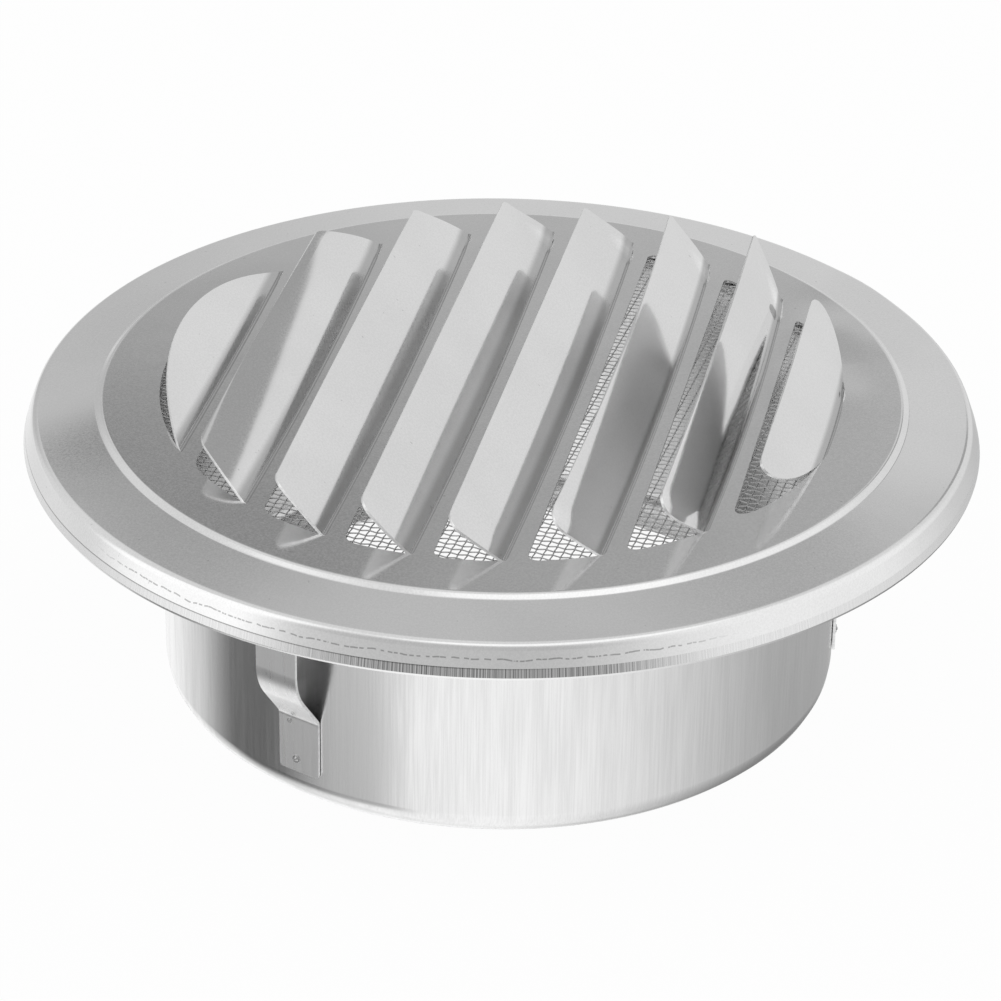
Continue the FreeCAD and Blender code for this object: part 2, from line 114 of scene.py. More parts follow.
# Drawn collar: its flange steps down inside to leave room for the screen's hem
COLLAR_RADIUS = 58.8
COLLAR_FOOT = METRE * collar_low.z
COLLAR_CORNER = 4.8
LIP_RADIUS = 52.8
FLANGE_RADIUS = METRE * collar_high.x
FLANGE_BEND = 1.5
JOGGLE_RADII = (61.6, 62.2)
JOGGLE_BEND = 0.3

# Woven screen under the panel: two quads close a six-sided wire's end
SCREEN_DROP = 0.25
SCREEN_MIDDLE = PANEL_TOP - SHEET - SCREEN_DROP
WIRE_PITCH = (1.45, 1.38)
WIRE_RADIUS = 0.12
WIRE_SIDES = 6
WIRE_CAPS = np.array(((0, 1, 2, 3), (0, 3, 4, 5)))
WIRE_STEPS = 2
WEAVE_RADIUS = 61.2
WEAVE_LEAN = math.radians(-4.5)

# Spring clips: folded strips on the collar
CLIP_BEARINGS = (-112.5, 7.5, 127.5)
CLIP_WIDTH = 8.0
CLIP_FOOT = (-39.1, -28.1)
CLIP_CORNER = 0.7
CLIP_COLUMNS = 9
CLIP_BENDS = (2.0, 10.0)
LEAF_RADIUS = 64.9
LEAF_TOP = -4.0
LEAF_FOLD = math.radians(36.0)

# Weld spots: place across the strip, height and radius, then their profile as shares of that radius
WELD_SPOTS = ((-1.8, -29.5, 0.5), (-0.5, -36.6, 0.8))
WELD_PROFILE = np.array(((0.0, 0.5), (0.3, 0.46), (0.5, 0.2), (0.62, 0.12),
                         (0.8, 0.26), (0.92, 0.2), (1.0, -0.1), (0.0, -0.1)))
WELD_SIDES = 24

# Divisions of the surfaces
END_ROWS = 3
LONG_ROWS = 48
EVEN_SHARE = 0.4
ARC_COLUMNS = 10
FLAT_COLUMNS = 8
TIP_COLUMNS = 22
COLUMN_DECIMALS = 3
RING_DECIMALS = 6
PANEL_RINGS = 8
SPACING = 1.6
BEND_REACH = 1.3
BEND_STEPS = 6
BEND_HOLD = 0.12
TURN_STEPS = 360

# Differences that count as none: between two places, in an area and in a length
SAME_PLACE = 1e-4
NO_AREA = 1e-12
NO_LENGTH = 1e-9

# Steels of each piece: of its sides, of its cut edges, and of faces that are set apart
FACE_STEELS = ("pressed_steel", "cut_steel", "skirt_steel", "lit_sheet_back")
COLLAR_STEELS = ("drawn_steel", "cut_steel")
SCREEN_STEELS = ("wire_steel",)
CLIP_STEELS = ("strip_steel", "cut_steel", "weld_steel", "shaded_strip_back")


def unit(vectors):
    """Vectors divided by their lengths."""
    return vectors / np.linalg.norm(vectors, axis=-1, keepdims=True)


def fade(distance):
    """Smooth fall from 1 at distance 0 to 0 at distance 1, level at both ends: 1 - 3t^2 + 2t^3."""
    t = np.clip(distance, 0.0, 1.0)
    return 1.0 - t * t * (3.0 - 2.0 * t)


def arch(share):
    """Rise from 0 at both ends of a run to 1 in its middle: 4 v (1 - v)."""
    return 4.0 * share * (1.0 - share)


def rounded_path(corners, bends):
    """Polyline whose inner corners give way to arcs: each arc has its own radius and touches both runs.

    A point close to each arc's end keeps the runs between the arcs straight when they are shaded."""
    corners = np.asarray(corners, float)
    share = np.linspace(0.0, 1.0, BEND_STEPS)[:, None]
    path = [corners[:1]]
    for before, corner, after, radius in zip(corners[:-2], corners[1:-1], corners[2:], bends):
        to_before = unit(before - corner)
        to_after = unit(after - corner)
        half = 0.5 * math.acos(float(to_before @ to_after))
        centre = corner + unit(to_before + to_after) * radius / math.sin(half)
        start = corner + to_before * radius / math.tan(half) - centre
        end = corner + to_after * radius / math.tan(half) - centre
        sweep = math.pi - 2.0 * half
        arc = np.sin((1.0 - share) * sweep) * start + np.sin(share * sweep) * end
        arc = centre + arc / math.sin(sweep)
        path.extend((arc[:1] + to_before * BEND_HOLD, arc, arc[-1:] + to_after * BEND_HOLD))
    path.append(corners[-1:])
    return np.concatenate(path)


def turned(points, angle):
    """Points turned about the Z axis by an angle in radians."""
    turn = np.array(((math.cos(angle), -math.sin(angle)), (math.sin(angle), math.cos(angle))))
    return np.concatenate((points[:, :2] @ turn.T, points[:, 2:]), axis=1)


def grid_quads(rows, columns, start=0, closed=False):
    """Quads of a grid of points numbered row by row; a closed grid joins its last column to its first."""
    across = columns if closed else columns - 1
    row, column = np.meshgrid(np.arange(rows - 1), np.arange(across), indexing="ij")
    following = (column + 1) % columns
    corners = (row * columns + column, row * columns + following,
               (row + 1) * columns + following, (row + 1) * columns + column)
    return start + np.stack(corners, axis=-1).reshape(-1, 4)


def weld(points, quads):
    """Points that share a place become one, and a quad that loses a corner repeats its last index.

    Gives the number of the point that each place keeps, and the faces."""
    keys = np.round(points / SAME_PLACE).astype(np.int64)
    _, first, place = np.unique(keys, axis=0, return_index=True, return_inverse=True)
    faces = place.ravel()[quads]
    same = faces == np.roll(faces, -1, axis=1)
    once = same.sum(axis=1) == 1
    turn = (np.argmax(same, axis=1)[:, None] + 1 + np.arange(4)) % 4
    triangles = np.take_along_axis(faces, turn, axis=1)
    triangles[:, 3] = triangles[:, 2]
    opposite = (faces[:, 0] == faces[:, 2]) | (faces[:, 1] == faces[:, 3])
    whole = faces[~same.any(axis=1) & ~opposite]
    return first, np.concatenate((whole, triangles[once & ~opposite]))


def vertex_normals(points, quads):
    """Mean of the face normals round each point, each face counted alike."""
    diagonals = [points[quads[:, corner + 2]] - points[quads[:, corner]] for corner in (0, 1)]
    across = np.cross(*diagonals)
    across /= np.maximum(np.linalg.norm(across, axis=1, keepdims=True), NO_AREA)
    normals = np.zeros_like(points)
    for corner in range(4):
        np.add.at(normals, quads[:, corner], across)
    return unit(normals)


def open_edges(quads):
    """Directed edges that only one face has."""
    pairs = np.stack((quads, np.roll(quads, -1, axis=1)), axis=-1).reshape(-1, 2)
    pairs = pairs[pairs[:, 0] != pairs[:, 1]]
    base = int(quads.max()) + 1
    forward = pairs[:, 0] * base + pairs[:, 1]
    backward = pairs[:, 1] * base + pairs[:, 0]
    return pairs[~np.isin(forward, backward)]


def sheet_metal(points, quads):
    """Shell of a surface: the same grid again one sheet below along the normals, and cut edges between.

    The cut edge has points of its own and a middle row that stands out by the bulge, so it catches the
    light. Gives the points, the faces, each face's steel (0 for the sides, 1 for the cut edge) and the
    surface's point behind each point."""
    normals = vertex_normals(points, quads)
    lower = points - normals * SHEET
    count = len(points)
    edges = open_edges(quads)
    rim = np.unique(edges)
    order = np.full(count, -1)
    order[rim] = np.arange(len(rim))
    along = np.zeros_like(points)
    direction = unit(points[edges[:, 1]] - points[edges[:, 0]])
    np.add.at(along, edges[:, 0], direction)
    np.add.at(along, edges[:, 1], direction)
    outward = np.cross(along[rim], normals[rim])
    outward /= np.maximum(np.linalg.norm(outward, axis=1, keepdims=True), NO_LENGTH)
    middle = 0.5 * (points[rim] + lower[rim]) + outward * EDGE_BULGE
    top_row = 2 * count
    middle_row = top_row + len(rim)
    low_row = middle_row + len(rim)
    start, end = order[edges[:, 0]], order[edges[:, 1]]
    walls = [np.stack((above + start, below + start, below + end, above + end), axis=1)
             for above, below in ((top_row, middle_row), (middle_row, low_row))]
    shell = np.concatenate((points, lower, points[rim], middle, lower[rim]))
    faces = np.concatenate((quads, quads[:, ::-1] + count, *walls))
    steel = np.zeros(len(faces), int)
    steel[2 * len(quads):] = 1
    source = np.concatenate((np.arange(count), np.arange(count), rim, rim, rim))
    return shell, faces, steel, source


def make_piece(name, points, quads, steel_names, steel, stands_for, bend_shade=None):
    """Mesh piece in metres from points in millimetres, with each face's steel and each point's bend shade,
    the weight of the painted shade near the bends.

    An index repeated at a quad's start or end makes the quad a triangle."""
    skips_first = (quads[:, 0] == quads[:, 1]).tolist()
    skips_last = (quads[:, 2] == quads[:, 3]).tolist()
    faces = [face[first:4 - last] for face, first, last in zip(quads.tolist(), skips_first, skips_last)]
    mesh = bpy.data.meshes.new(name)
    mesh.from_pydata((points / METRE).tolist(), [], faces)
    mesh.polygons.foreach_set("use_smooth", np.ones(len(faces), bool))
    for steel_name in steel_names:
        mesh.materials.append(steels[steel_name])
    mesh.polygons.foreach_set("material_index", steel.astype(np.int32))
    if bend_shade is not None:
        mesh.attributes.new("bend_shade", "FLOAT", "POINT").data.foreach_set("value", bend_shade.astype(np.float32))
    mesh.update()
    piece = bpy.data.objects.new(name, mesh)
    bpy.context.scene.collection.objects.link(piece)
    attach(piece, "root")
    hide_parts(stands_for)


def chord(x):
    """Half the length of the louvre circle's chord at x."""
    return np.sqrt(np.maximum(LOUVRE_CIRCLE ** 2 - x * x, 0.0))


def shortfall(distance, radius):
    """How far a round corner keeps back at a distance from the edge: r - sqrt(r^2 - (r - d)^2)."""
    inside = np.clip(radius - distance, 0.0, radius)
    return radius - np.sqrt(radius * radius - inside * inside)


def bent_flap(reach, tilt, curl):
    """Place across and height of a flap at a developed distance from its bend: the integral of its tilt.

    The tilt grows evenly round the bend's radius, and from there to the free edge it falls evenly by the
    curl."""
    arc = LOUVRE_BEND * tilt
    turn = np.minimum(reach / LOUVRE_BEND, tilt)
    run = np.maximum(reach - arc, 0.0)
    fall = curl / (LOUVRE_WIDTH - arc)
    end = tilt - fall * run
    across = LOUVRE_BEND * np.sin(turn) + (np.sin(tilt) - np.sin(end)) / fall
    height = LOUVRE_BEND * (1.0 - np.cos(turn)) + (np.cos(end) - np.cos(tilt)) / fall
    return across, height


def corner_lift(reach, y, limit, lift):
    """Height by which a bend's far corner stands up: it fades along the bend and over the flap."""
    return lift * fade((limit - y) / LIFT_LENGTH) * fade(reach / LIFT_FLAP)


def near_droop(reach, y, limit, droop):
    """Depth by which a flap's near corner hangs: it grows from the bend and fades from the near end."""
    return droop * fade((limit + y) / DROOP_LENGTH) * reach / LOUVRE_WIDTH


def panel_ripple(x, y):
    """Height of the shallow waves by the last louvre: a bump across X times a wave along its far part."""
    across = fade(np.abs(x - RIPPLE_MIDDLE) / RIPPLE_REACH)
    along = 0.5 + 0.5 * np.cos(2.0 * math.pi * (y - RIPPLE_CREST) / RIPPLE_LENGTH)
    return RIPPLE_HEIGHT * across * along * (y > RIPPLE_CREST - 0.5 * RIPPLE_LENGTH)


def row_shares():
    """Shares of the way along a louvre, closer together towards both ends: part even, part a cosine."""
    even = np.linspace(0.0, 1.0, LONG_ROWS + 1)[:, None]
    return EVEN_SHARE * even + (1.0 - EVEN_SHARE) * (0.5 - 0.5 * np.cos(math.pi * even))


def strip_rows(x, near, far):
    """Rows of a strip along Y: a few up to the near outline, many along, a few from the far one."""
    limit = chord(x)
    end = np.linspace(0.0, 1.0, END_ROWS + 1)[:, None]
    near_rows = -limit + (limit - near) * end
    long_rows = -near + (near + far) * row_shares()
    far_rows = far + (limit - far) * end
    return near_rows, long_rows, far_rows


def sheet_grid(x, y, z, bend_shade=0.0):
    """Grid of points of the sheet, each with its bend shade, the weight of the painted shade near the
    bends.
    """
    return np.stack(np.broadcast_arrays(x, y, z, bend_shade), axis=-1)


def is_tip(bend):
    """Whether the louvre of a bend takes the circle's whole tip, so that it has no straight free edge."""
    return bend - LOUVRE_WIDTH <= -LOUVRE_CIRCLE


def louvre_outline(index, bend):
    """Columns of a louvre from its free edge to its bend, closer where a corner or the bend is round.

    Gives their X, then how far the opening and the flap reach there towards the near and the far end."""
    reach = BEND_REACH * np.linspace(0.0, 1.0, ARC_COLUMNS)
    if is_tip(bend):
        start = math.acos((BEND_REACH - bend) / LOUVRE_CIRCLE)
        tip = -LOUVRE_CIRCLE * np.cos(np.linspace(0.0, start, TIP_COLUMNS))
        x = np.concatenate((tip[:-1], (bend - reach)[::-1]))
        limit = chord(x)
        return x, (limit, limit), (limit, limit)
    opening = OPENING_NEAR_CORNERS[index], OPENING_FAR_CORNER
    flap = FLAP_NEAR_CORNERS[index], FLAP_FAR_CORNERS[index]
    turn = np.linspace(0.0, 0.5 * math.pi, ARC_COLUMNS)
    rounds = [LOUVRE_WIDTH - corner * (1.0 - np.cos(turn)) for corner in flap]
    flat = np.linspace(BEND_REACH, LOUVRE_WIDTH, FLAT_COLUMNS)
    x = bend - np.unique(np.round(np.concatenate((reach, flat, *rounds)), COLUMN_DECIMALS))[::-1]
    free = x - (bend - LOUVRE_WIDTH)
    return x, *[[chord(x) - shortfall(free, corner) for corner in corners] for corners in (opening, flap)]


def flap_grid(index, bend, x, ends):
    """Flap of a louvre: bent up, twisted, curled and bowed, with its corners lifted and hanging.

    The bend bows out while the cut edge keeps its line, so the flap grows wider by the bow."""
    _, rows, _ = strip_rows(x, *ends)
    limit = chord(bend) if is_tip(bend) else chord(x)
    place = 0.5 + 0.5 * rows / limit if is_tip(bend) else row_shares()
    reach = bend - x
    tilt = LOUVRE_TILTS[index] + MIDDLE_TILTS[index] * arch(place)
    tilt = tilt + FLAP_TWISTS[index] * (2.0 * place - 1.0)
    curl = math.radians(FLAP_CURLS[index])
    wider = 1.0 + (BEND_BOWS[index] - EDGE_BOWS[index]) * arch(place) / LOUVRE_WIDTH
    across, height = bent_flap(reach * wider, np.radians(tilt) + 0.5 * curl, curl)
    height = height + corner_lift(reach, rows, limit, CORNER_LIFTS[index])
    height = height - near_droop(reach, rows, limit, FLAP_DROOPS[index])
    # Bend shade: 1 at the bend, 0 past its reach over the flap; it darkens the grey there as painted shade
    # and makes it duller
    bend_shade = np.maximum(1.0 - reach / BEND_SHADE_REACHES[index], 0.0)
    return sheet_grid(bend - across + BEND_BOWS[index] * arch(place), rows, PANEL_TOP + height, bend_shade)


def land_grid(index, bend):
    """Land from a bend to the next opening, or the circle's tip past the last bend: the bow narrows it.

    Gives its columns' X and its grid."""
    if index < len(LOUVRE_TILTS) - 1:
        x = bend + LAND_WIDTH * np.linspace(0.0, 1.0, FLAT_COLUMNS) ** SPACING
        toward = (x - bend) / LAND_WIDTH
        near = chord(x) - OPENING_NEAR_CORNERS[index + 1] * toward
        far = chord(x) - OPENING_FAR_CORNER * toward
    else:
        x = LOUVRE_CIRCLE * np.cos(np.linspace(math.acos(bend / LOUVRE_CIRCLE), 0.0, FLAT_COLUMNS))
        toward = (x - bend) / (LOUVRE_CIRCLE - bend)
        near = far = chord(x)
    ends = np.ones((END_ROWS + 1, 1))
    place = np.concatenate((0.0 * ends, row_shares(), ends))
    rows = np.concatenate(strip_rows(x, near, far))
    return x, sheet_grid(x + BEND_BOWS[index] * arch(place) * (1.0 - toward), rows, PANEL_TOP)


def face_rings(columns):
    """Rings round the louvre circle: its outline at the columns' ends, spread along the pressed profile."""
    place = np.unique(np.round(np.concatenate(columns), RING_DECIMALS))
    ring = np.concatenate((np.stack((place, -chord(place)), axis=1),
                           np.stack((place, chord(place)), axis=1)[-2:0:-1]))
    profile = rounded_path(
        ((LOUVRE_CIRCLE, PANEL_TOP), (PANEL_RADIUS, PANEL_TOP), (STEP_RADIUS, STEP_TOP),
         (BORDER_RADIUS, BORDER_TOP), (SKIRT_RADIUS, SKIRT_TOP), (FLARE_RADIUS, FLARE_TOP),
         (FACE_RADIUS, 0.0)),
        (CREST_BEND, TROUGH_BEND, RIM_BEND, SKIRT_BEND, FLARE_BEND))
    spacing = np.linspace(0.0, 1.0, PANEL_RINGS)[:-1] ** SPACING
    flat = LOUVRE_CIRCLE + (profile[1, 0] - LOUVRE_CIRCLE) * spacing
    profile = np.concatenate((np.stack((flat, np.full(len(flat), PANEL_TOP)), axis=1), profile[1:]))
    spread = ring[None, :, :] * (profile[:, 0] / LOUVRE_CIRCLE)[:, None, None]
    return sheet_grid(spread[..., 0], spread[..., 1], profile[:, 1:])


def face_surface():
    """Upper face of the pressed sheet: strips of panel and louvre in the circle, rings outside it.

    Gives the points, the faces and each point's bend shade, the weight of the painted shade near the bends."""
    grids, columns = [], []
    for index in range(len(LOUVRE_TILTS)):
        bend = FIRST_BEND + (LOUVRE_WIDTH + LAND_WIDTH) * index
        x, opening_ends, flap_ends = louvre_outline(index, bend)
        near_rows, _, far_rows = strip_rows(x, *opening_ends)
        land_x, land = land_grid(index, bend)
        grids.extend((sheet_grid(x, near_rows, PANEL_TOP), sheet_grid(x, far_rows, PANEL_TOP),
                      flap_grid(index, bend, x, flap_ends), land))
        columns.extend((x, land_x))
    quads, total = [], 0
    for grid in grids:
        rows, across, _ = grid.shape
        quads.append(grid_quads(rows, across, total))
        total += rows * across
    rings = face_rings(columns)
    quads.append(grid_quads(len(rings), rings.shape[1], total, closed=True)[:, ::-1])
    points = np.concatenate([grid.reshape(-1, 4) for grid in (*grids, rings)])
    kept, faces = weld(points[:, :3], np.concatenate(quads))
    points = points[kept]
    points[:, 2] += panel_ripple(points[:, 0], points[:, 1])
    return points[:, :3], faces, points[:, 3]


def pressed_face():
    """Louvred face as a piece: its skirt's outer band and its lower side have finishes of their own; the
    lower side is lighter, as painted light.
    """
    points, quads, bend_shade = face_surface()
    shell, faces, steel, source = sheet_metal(points, quads)
    heights = shell[faces].mean(axis=1)[:, 2]
    in_skirt = (heights < SKIRT_TOP) & (heights > FLARE_TOP)
    steel[in_skirt & (steel == FACE_STEELS.index("pressed_steel"))] = FACE_STEELS.index("skirt_steel")
    # Lower side: a lighter steel, painted light
    steel[len(quads):2 * len(quads)] = FACE_STEELS.index("lit_sheet_back")
    make_piece("pressed_face", shell, faces, FACE_STEELS, steel, "face_plate",
               bend_shade[source])


def turned_surface(profile):
    """Profile of radii and heights carried round the Z axis, closed on itself."""
    turn = np.linspace(0.0, 2.0 * math.pi, TURN_STEPS, endpoint=False)
    points = np.stack((profile[:, :1] * np.cos(turn), profile[:, :1] * np.sin(turn),
                       np.broadcast_to(profile[:, 1:], (len(profile), TURN_STEPS))), axis=-1)
    return points.reshape(-1, 3), grid_quads(len(profile), TURN_STEPS, closed=True)[:, ::-1]


def drawn_collar():
    """Collar as a piece: stepped flange under the panel, straight wall, round corner and lip turned in."""
    high = PANEL_TOP - 2.0 * SHEET
    low = high - SHEET
    profile = rounded_path(
        ((FLANGE_RADIUS, high), (JOGGLE_RADII[1], high), (JOGGLE_RADII[0], low), (COLLAR_RADIUS, low),
         (COLLAR_RADIUS, COLLAR_FOOT), (LIP_RADIUS, COLLAR_FOOT)),
        (JOGGLE_BEND, JOGGLE_BEND, FLANGE_BEND, COLLAR_CORNER))
    shell, faces, steel, _ = sheet_metal(*turned_surface(profile))
    make_piece("drawn_collar", shell, faces, COLLAR_STEELS, steel, "collar")


def woven_wires(name, along_x):
    """Crimped wires as a piece: each is a tube along a sine wave, over and under those it crosses."""
    across_pitch, along_pitch = WIRE_PITCH if not along_x else WIRE_PITCH[::-1]
    count = int(WEAVE_RADIUS / across_pitch)
    offsets = across_pitch * np.arange(-count, count + 1)
    side = np.arange(WIRE_SIDES) * 2.0 * math.pi / WIRE_SIDES
    points, quads, total = [], [], 0
    for number, offset in enumerate(offsets):
        half = math.sqrt(max(WEAVE_RADIUS ** 2 - offset * offset, 0.0))
        crossings = int(half / along_pitch)
        if crossings < 1:
            continue
        steps = WIRE_STEPS * crossings
        path = along_pitch * np.arange(-steps, steps + 1) / WIRE_STEPS
        wave = np.cos(math.pi * (path / along_pitch + number + along_x))
        height = SCREEN_MIDDLE + WIRE_RADIUS * wave
        ring_up = height[:, None] + WIRE_RADIUS * np.sin(side)[None, :]
        ring_side = np.broadcast_to(offset + WIRE_RADIUS * np.cos(side)[None, :], ring_up.shape)
        run = np.broadcast_to(path[:, None], ring_up.shape)
        place = (run, ring_side, ring_up) if along_x else (ring_side, run, ring_up)
        points.append(np.stack(place, axis=-1).reshape(-1, 3))
        sides = grid_quads(len(path), WIRE_SIDES, total, closed=True)
        end_caps = WIRE_CAPS[:, ::-1] + total + (len(path) - 1) * WIRE_SIDES
        faces = np.concatenate((sides, WIRE_CAPS + total, end_caps))
        quads.append(faces if along_x else faces[:, ::-1])
        total += len(path) * WIRE_SIDES
    points = turned(np.concatenate(points), WEAVE_LEAN)
    quads = np.concatenate(quads)
    steel = np.zeros(len(quads), int)
    make_piece(name, points, quads, SCREEN_STEELS, steel, "insect_screen")


def clip_surface():
    """Inner face of a clip: foot, fold and leaf as a profile of radii and heights, carried across.

    The width falls off at both ends by a round corner."""
    low, fold = CLIP_FOOT
    knee = fold + (LEAF_RADIUS - COLLAR_RADIUS) / math.tan(LEAF_FOLD)
    profile = rounded_path(
        ((COLLAR_RADIUS, low), (COLLAR_RADIUS, fold), (LEAF_RADIUS, knee), (LEAF_RADIUS, LEAF_TOP)),
        CLIP_BENDS)
    steps = CLIP_CORNER * (1.0 - np.cos(np.linspace(0.0, 0.5 * math.pi, BEND_STEPS)))[:, None]
    foot = profile[:1] + steps * (0.0, 1.0)
    top = (profile[-1:] - steps * (0.0, 1.0))[::-1]
    profile = np.concatenate((foot, profile[1:-1], top))
    from_end = np.minimum(profile[:, 1] - low, LEAF_TOP - profile[:, 1])
    half = 0.5 * CLIP_WIDTH - shortfall(from_end, CLIP_CORNER)
    across = half[:, None] * np.linspace(-1.0, 1.0, CLIP_COLUMNS)
    points = np.stack(np.broadcast_arrays(profile[:, :1], across, profile[:, 1:]), axis=-1)
    return points.reshape(-1, 3), grid_quads(len(profile), CLIP_COLUMNS)[:, ::-1]


def weld_spot(aside, height, radius):
    """Dished spot turned about a radial line: rings of its profile, closed at both ends."""
    turn = np.linspace(0.0, 2.0 * math.pi, WELD_SIDES, endpoint=False)
    ring = radius * WELD_PROFILE[:, :1]
    up = COLLAR_RADIUS + SHEET + radius * WELD_PROFILE[:, 1:]
    rings = np.broadcast_arrays(up, aside + ring * np.cos(turn), height + ring * np.sin(turn))
    points = np.stack(rings, axis=-1).reshape(-1, 3)
    kept, faces = weld(points, grid_quads(len(WELD_PROFILE), WELD_SIDES, closed=True))
    return points[kept], faces[:, ::-1]


def spring_clip(number, bearing):
    """Clip as a piece: strip with a dull back painted dark as shade, and its weld spots, turned to a
    bearing in degrees.
    """
    points, quads = clip_surface()
    shell, faces, steel, _ = sheet_metal(points, quads)
    # The clip's inner face, against the collar, takes a dark steel: painted shade
    steel[:len(quads)] = CLIP_STEELS.index("shaded_strip_back")
    all_points, all_faces, all_steel = [shell], [faces], [steel]
    total = len(shell)
    for spot in WELD_SPOTS:
        points, faces = weld_spot(*spot)
        all_points.append(points)
        all_faces.append(faces + total)
        all_steel.append(np.full(len(faces), CLIP_STEELS.index("weld_steel")))
        total += len(points)
    points = turned(np.concatenate(all_points), math.radians(bearing))
    make_piece("clip_%d" % number, points, np.concatenate(all_faces), CLIP_STEELS,
               np.concatenate(all_steel), "spring_clip_%d" % number)


# Sizes of marks in millimetres along X, Y and Z, and how many layers of detail their noise has
SHEET_GRAIN = (0.35, 0.35, 0.35)
SHEET_CLOUDS = (22.0, 22.0, 22.0)
SHEET_SPECKS = (1.1, 1.1, 1.1)
DRAWN_STREAKS = (0.3, 0.3, 14.0)
DRAWN_BANDS = (2.5, 2.5, 20.0)
STRIP_LINES = (0.4, 0.4, 25.0)
WIRE_MARKS = (1.7, 1.7, 0.4)
CUT_MARKS = (0.8, 0.8, 0.4)
SPECK_DETAIL = 1.0
PLAIN_DETAIL = 2.0
MARK_DETAIL = 3.0

# Spans that a noise or a mask is stretched from, and the ends of a mask
NOISE_SPAN = (0.3, 0.7)
ROUGH_SPAN = (0.25, 0.75)
MARK_SPAN = (0.32, 0.68)
WHOLE_SPAN = (0.0, 1.0)
FADE_IN = (0.0, 1.0)
FADE_OUT = (1.0, 0.0)

# Pressed sheet: greys, specks, dull bands of painted shade at the bends, what roughness gains, depths of
# the relief
SHEET_GREYS = (0.84, 0.88)
GRAIN_GREYS = (0.97, 1.03)
SPECK_SPAN = (0.76, 0.82)
SPECK_GREYS = (1.0, 0.82)
# Span and greys of the bend shade: the darkening near the bends is painted shade
BEND_SHADE_SPAN = (0.3, 0.65)
BEND_SHADE_GREYS = (1.0, 0.6)
SHEET_ROUGHNESS = (0.05, 0.09)
PANEL_DULL = 0.07
BEND_DULL = 0.05
FLAP_RISE = (0.1, 1.0)
CLOUD_DEPTH = 0.03
GRAIN_DEPTH = 0.0006

# Broken scuff line on the front of the rim: a band of radii that wanders, and dashes along it
SCUFF_RADIUS = 81.05
SCUFF_WANDER = 0.3
SCUFF_WAVES = 14.0
SCUFF_BAND = (0.024, 0.06)
SCUFF_DASHES = 80.0
DASH_SPAN = (0.42, 0.5)
SCUFF_FRONT = math.radians(-92.0)
SCUFF_REACH = (math.radians(30.0), math.radians(44.0))
SCUFF_GREYS = (1.0, 0.55)

# Skirt's band: upright marks, darker on the front as painted shade, and a dark line of painted shade under
# the rim's bend
SKIRT_MARKS = 330.0
SKIRT_GREYS = (0.84, 0.92)
# Greys, middle and reach of the darker front: painted shade
FRONT_SHADE_GREYS = (0.2, 0.64)
FRONT_SHADE_MIDDLE = math.radians(-80.0)
FRONT_SHADE_REACH = (math.radians(10.0), math.radians(28.0))
# Depths, middle, reach and greys of the dark line under the rim's bend: painted shade
SHADE_LINE_DEPTHS = (0.3, 0.05)
SHADE_LINE_MIDDLE = math.radians(-120.0)
SHADE_LINE_REACH = (math.radians(30.0), math.radians(60.0))
SHADE_LINE_GREYS = (1.0, 0.45)
SKIRT_ROUGHNESS = (0.36, 0.2)
SKIRT_DEPTH = 0.004

# Steels with marks of two sizes: fine and broad marks, the greys and roughnesses between which the marks
# move them, and how deep the fine marks are
FINE_SHARE = 0.6
MARKED_STEELS = {
    "cut_steel": ((CUT_MARKS, SHEET_CLOUDS), (0.68, 0.86), (0.42, 0.3), 0.003),
    # Lower side of the pressed sheet, lighter than its upper face: painted light for light bounced up
    # inside
    "lit_sheet_back": ((SHEET_GRAIN, SHEET_CLOUDS), (0.92, 0.97), (0.36, 0.3), 0.0006),
    "drawn_steel": ((DRAWN_STREAKS, DRAWN_BANDS), (0.79, 0.88), (0.26, 0.2), 0.0015),
    "wire_steel": ((WIRE_MARKS, SHEET_CLOUDS), (0.46, 0.58), (0.3, 0.24), 0.0003),
    "strip_steel": ((STRIP_LINES, DRAWN_BANDS), (0.86, 0.94), (0.34, 0.26), 0.0012),
    # Clip's inner face, dark: painted shade in the gap against the collar
    "shaded_strip_back": ((STRIP_LINES, DRAWN_BANDS), (0.2, 0.3), (0.5, 0.4), 0.0012),
    "weld_steel": ((CUT_MARKS, SHEET_SPECKS), (0.3, 0.6), (0.25, 0.15), 0.004),
}


def new_material(name):
    """Node material; gives it, its tree and its shader."""
    material = bpy.data.materials.new(name)
    material.use_nodes = True
    tree = material.node_tree
    return material, tree, tree.nodes["Principled BSDF"]


def math_node(tree, operation, *values):
    """Math node whose inputs are sockets or plain numbers; gives its output."""
    node = tree.nodes.new("ShaderNodeMath")
    node.operation = operation
    for socket, value in zip(node.inputs, values):
        if isinstance(value, bpy.types.NodeSocket):
            tree.links.new(value, socket)
        else:
            socket.default_value = value
    return node.outputs[0]


def product(tree, first, *others):
    """Product of sockets."""
    for other in others:
        first = math_node(tree, "MULTIPLY", first, other)
    return first


def smooth_range(tree, value, span, ends):
    """Smooth step from one end to the other while the value crosses the span."""
    node = tree.nodes.new("ShaderNodeMapRange")
    node.interpolation_type = "SMOOTHSTEP"
    tree.links.new(value, node.inputs["Value"])
    for name, number in zip(("From Min", "From Max", "To Min", "To Max"), (*span, *ends)):
        node.inputs[name].default_value = number
    return node.outputs["Result"]


def grain(tree, size, detail=PLAIN_DETAIL):
    """Noise on the piece's own coordinates with marks of a size in millimetres along X, Y and Z."""
    mapping = tree.nodes.new("ShaderNodeMapping")
    mapping.inputs["Scale"].default_value = [METRE / length for length in size]
    tree.links.new(tree.nodes.new("ShaderNodeTexCoord").outputs["Object"], mapping.inputs["Vector"])
    node = tree.nodes.new("ShaderNodeTexNoise")
    node.inputs["Scale"].default_value = 1.0
    node.inputs["Detail"].default_value = detail
    tree.links.new(mapping.outputs["Vector"], node.inputs["Vector"])
    return node.outputs["Fac"]


